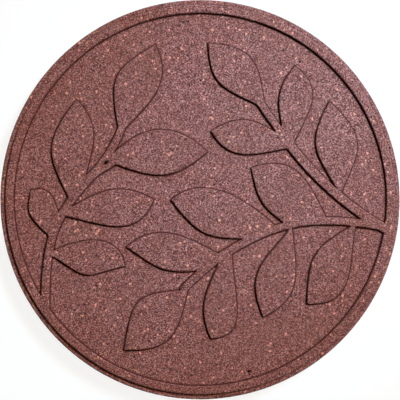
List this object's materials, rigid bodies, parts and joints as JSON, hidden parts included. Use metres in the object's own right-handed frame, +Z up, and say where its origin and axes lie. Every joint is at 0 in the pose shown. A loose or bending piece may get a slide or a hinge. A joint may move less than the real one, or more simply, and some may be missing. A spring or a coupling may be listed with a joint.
{
  "type": "garden stepping stone",
  "caption": "Round garden stepping stone moulded from rubber crumb, with a raised rim, a lower ledge outside it and leafy sprigs standing on a sunk field.",
  "frame": {"origin": "middle of the underside, on the floor the stone rests on", "axes": "+Z up out of the relief side, +Y towards the top of the pattern as the picture shows it, +X to its right"},
  "size_m": [0.45, 0.45, 0.02],
  "materials": {
    "crumb_rubber": "matt bonded crumb, brick red to mauve with a few pale and dark flecks"
  },
  "bodies": {
    "root": {"stepping_stone": "crumb_rubber"}
  },
  "joints": []
}
